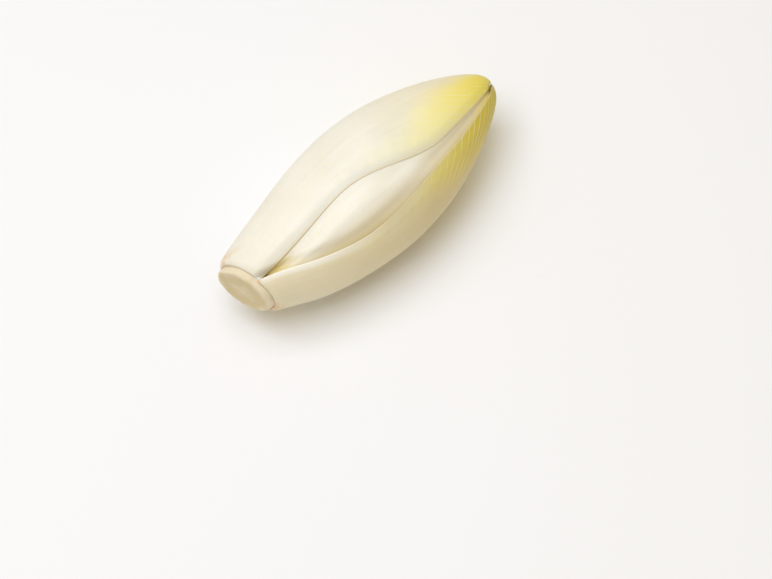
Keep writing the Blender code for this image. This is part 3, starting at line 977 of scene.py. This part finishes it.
def core_profile(v):
    """Height and radius along the profile, from the middle of the cut face at v = 0 to the core's top."""
    on_face = np.clip(v / FACE_SHARE, 0, 1)
    up_side = np.clip((v - FACE_SHARE) / (1 - FACE_SHARE), 0, 1)
    face_radius = on_face * STUMP_RADIUS
    rim = np.clip((face_radius - (STUMP_RADIUS - RIM_ROUNDING)) / RIM_ROUNDING, 0, 1)
    face_height = RIM_ROUNDING * (1 - np.sqrt(1 - rim**2)) + FACE_SINK * (1 - on_face**4)
    rings = RING_RELIEF * (0.5 + 0.5 * np.cos(on_face * 2 * math.pi * RING_COUNT))
    side_foot = CUT_STATION + RIM_ROUNDING
    height = side_foot + (CORE_TOP - side_foot) * up_side**CORE_ROW_POWER
    return (
        np.where(v < FACE_SHARE, CUT_STATION + face_height + rings * (1 - rim), height),
        np.where(v < FACE_SHARE, face_radius, core_radius(height)),
    )


def lumps(turn, out):
    """0 to 1, uneven round the spine: the feet of trimmed leaves."""
    return 0.5 + 0.25 * np.sin(3 * turn + 0.6 + 2 * out) + 0.25 * np.sin(7 * turn + 4 * out)


def make_core():
    """The turned core with its cut face, made a little uneven."""
    bm = bmesh.new()
    columns, rows = CORE_GRID
    bmesh.ops.create_grid(bm, x_segments=columns, y_segments=rows, size=0.5)
    flat = np.array([vertex.co for vertex in bm.verts])
    height, radius = core_profile(flat[:, 1] + 0.5)
    turn = (flat[:, 0] + 0.5) * 2 * math.pi
    out = radius / STUMP_RADIUS
    stump = 1 - smooth((height - STUMP_HEIGHT) / STUMP_SHOULDER)
    height = height + FACE_LUMPS * lumps(turn, out) * out**2 * (height < CUT_STATION + RIM_ROUNDING)
    radius = radius * (1 - RIM_LUMPS * lumps(turn, 0 * out) * stump * out**2)
    for vertex, place in zip(bm.verts, in_the_head(height, radius, turn)):
        vertex.co = place
    bmesh.ops.remove_doubles(bm, verts=bm.verts[:], dist=SEAM_MERGE)
    bmesh.ops.holes_fill(bm, edges=bm.edges[:])
    if bm.calc_volume(signed=True) < 0:
        bmesh.ops.reverse_faces(bm, faces=bm.faces[:])
    mesh = bpy.data.meshes.new("fine_core")
    bm.to_mesh(mesh)
    bm.free()
    mesh.shade_smooth()
    return mesh


# %% [markdown]
# ## Cut flesh
# The cut face shows the leaf feet in rings. From the rim in, it is cream, then tan where the flesh has
# dried, then a pale pith. It is matt and slightly grainy, because the knife opened the cells.

# %% Flesh of the core
GRAIN_SIZE = 4.5 * MM
RING_RAGGEDNESS = 0.55
FACE_WIDTH_IN_RAMP = 0.7  # the cut face's radius, where the ramp is 1 long
PITH_TO_RIM = [(0.25, "#EDE4CC"), (0.42, "#E3D5B3"), (0.62, "#D9C99E"), (0.78, "#DACAA0"), (0.96, "#E8DDC2")]
FLESH_ROUGHNESS = 0.62
FLESH_RELIEF = 0.25 * MM
FLESH_RELIEF_STRENGTH = 0.5
FLESH_LIGHT_DEPTH = 1.5 * MM
FLESH_LIGHT_SPREAD = (1.0, 0.8, 0.4)
FLESH_LIGHT_LET_IN = 0.25


def cut_flesh():
    """Cream rim, tan ring and pale pith, by distance from the spine."""
    material = bpy.data.materials.new("cut_chicory_flesh")
    material.use_nodes = True
    tree = material.node_tree
    tree.nodes.clear()
    spots = add(tree, "ShaderNodeTexCoord")
    centred = add(
        tree, "ShaderNodeVectorMath", {0: spots.outputs["Object"], 1: CUT_FACE}, operation="SUBTRACT"
    )
    scale = FACE_WIDTH_IN_RAMP / STUMP_RADIUS
    flat = add(
        tree, "ShaderNodeVectorMath", {0: centred.outputs[0], 1: (0, scale, scale)}, operation="MULTIPLY"
    )
    from_spine = add(tree, "ShaderNodeVectorMath", {0: flat.outputs[0]}, operation="LENGTH")
    grain = add(
        tree,
        "ShaderNodeTexNoise",
        {"Vector": spots.outputs["Object"], "Scale": 1 / GRAIN_SIZE, "Detail": 6.0, "Roughness": 0.6},
    )
    ragged = add(
        tree,
        "ShaderNodeMath",
        {0: grain.outputs["Fac"], 1: RING_RAGGEDNESS, 2: from_spine.outputs["Value"]},
        operation="MULTIPLY_ADD",
    )
    rings = add(tree, "ShaderNodeValToRGB", {"Fac": ragged.outputs[0]})
    stops(rings, PITH_TO_RIM)
    bump = add(
        tree,
        "ShaderNodeBump",
        {"Height": grain.outputs["Fac"], "Strength": FLESH_RELIEF_STRENGTH, "Distance": FLESH_RELIEF},
    )
    shader = add(
        tree,
        "ShaderNodeBsdfPrincipled",
        {
            "Base Color": rings.outputs[0],
            "Roughness": FLESH_ROUGHNESS,
            "Normal": bump.outputs[0],
            "IOR": FLESH_IOR,
            "Subsurface Weight": FLESH_LIGHT_LET_IN,
            "Subsurface Radius": FLESH_LIGHT_SPREAD,
            "Subsurface Scale": FLESH_LIGHT_DEPTH,
        },
    )
    add(tree, "ShaderNodeOutputMaterial", {"Surface": shader.outputs[0]})
    return material


core = bpy.data.objects.new("fine_core", make_core())
core.data.materials.append(cut_flesh())
bpy.context.scene.collection.objects.link(core)
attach(core, "root")
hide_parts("core")
print("core faces:", len(core.data.polygons))

# %% [markdown]
# ## Table, light and camera
# The head lies on a pale table under one large soft light from the upper left, with a weak even light all
# round. The camera looks down steeply with a long lens, so the head keeps its true proportions.

# %% Camera
VIEW_AZIMUTH = -44.6 * DEG
VIEW_ELEVATION = 64.5 * DEG
FOCAL_LENGTH = 90.0
SENSOR_WIDTH = 36.0
NEAREST_SEEN = 10 * MM
FRAME_WIDTH = 301 * MM  # of what the camera sees, at the head
AIM_RIGHT = 5.8 * MM  # the camera looks this far to the right of the head's middle, and this far above it
AIM_UP = -40.4 * MM

right = Vector((math.cos(VIEW_AZIMUTH), math.sin(VIEW_AZIMUTH), 0))
back = Vector(
    (
        math.sin(VIEW_AZIMUTH) * math.cos(VIEW_ELEVATION),
        -math.cos(VIEW_AZIMUTH) * math.cos(VIEW_ELEVATION),
        math.sin(VIEW_ELEVATION),
    )
)
up = back.cross(right)
middle = SPINE + Vector((HEAD_LENGTH / 2, 0, 0))
distance = FRAME_WIDTH * FOCAL_LENGTH / SENSOR_WIDTH

camera = bpy.data.objects.new("camera", bpy.data.cameras.new("camera"))
camera.data.lens = FOCAL_LENGTH
camera.data.sensor_width = SENSOR_WIDTH
camera.data.clip_start = NEAREST_SEEN
camera.location = middle + right * AIM_RIGHT + up * AIM_UP + back * distance
camera.rotation_euler = back.to_track_quat("Z", "Y").to_euler()
bpy.context.scene.collection.objects.link(camera)
bpy.context.scene.camera = camera
print("camera distance, in m:", round(distance, 3))

# %% Light
KEY_POWER = 13.4
KEY_COLOUR = "#EDF3FF"
KEY_DIRECTION = (0.95, -0.22, 0.40)  # from the head: towards the camera, to its right, and up in its view
KEY_DISTANCE = 1.3
KEY_WIDTH = 1.0
AMBIENT_COLOUR = "#FFEFCF"
WORLD_STRENGTH = 0.50

lamp = bpy.data.lights.new("key_light", "AREA")
lamp.shape = "SQUARE"
lamp.size = KEY_WIDTH
lamp.energy = KEY_POWER
lamp.color = linear(KEY_COLOUR)[:3]
to_camera, to_right, to_top = KEY_DIRECTION
from_head = back * to_camera + right * to_right + up * to_top
key_light = bpy.data.objects.new("key_light", lamp)
key_light.location = middle + from_head.normalized() * KEY_DISTANCE
key_light.rotation_euler = from_head.to_track_quat("Z", "Y").to_euler()
bpy.context.scene.collection.objects.link(key_light)
world = bpy.data.worlds.new("studio")
world.use_nodes = True
world.node_tree.nodes["Background"].inputs["Color"].default_value = linear(AMBIENT_COLOUR)
world.node_tree.nodes["Background"].inputs["Strength"].default_value = WORLD_STRENGTH
bpy.context.scene.world = world
bpy.context.scene.view_settings.view_transform = "Standard"
print("key light at, in m:", [round(c, 2) for c in key_light.location])

# %% Table
TABLE_HALF_WIDTH = 3.0
TABLE_COLOUR = "#F5F7FB"
TABLE_ROUGHNESS = 0.9

table_mesh = bmesh.new()
bmesh.ops.create_grid(table_mesh, x_segments=1, y_segments=1, size=TABLE_HALF_WIDTH)
table_data = bpy.data.meshes.new("table")
table_mesh.to_mesh(table_data)
table_mesh.free()
table = bpy.data.objects.new("table", table_data)
paint = bpy.data.materials.new("matt_white_table")
paint.use_nodes = True
paint.node_tree.nodes["Principled BSDF"].inputs["Base Color"].default_value = linear(TABLE_COLOUR)
paint.node_tree.nodes["Principled BSDF"].inputs["Roughness"].default_value = TABLE_ROUGHNESS
table_data.materials.append(paint)
bpy.context.scene.collection.objects.link(table)
print("table, in m:", 2 * TABLE_HALF_WIDTH)
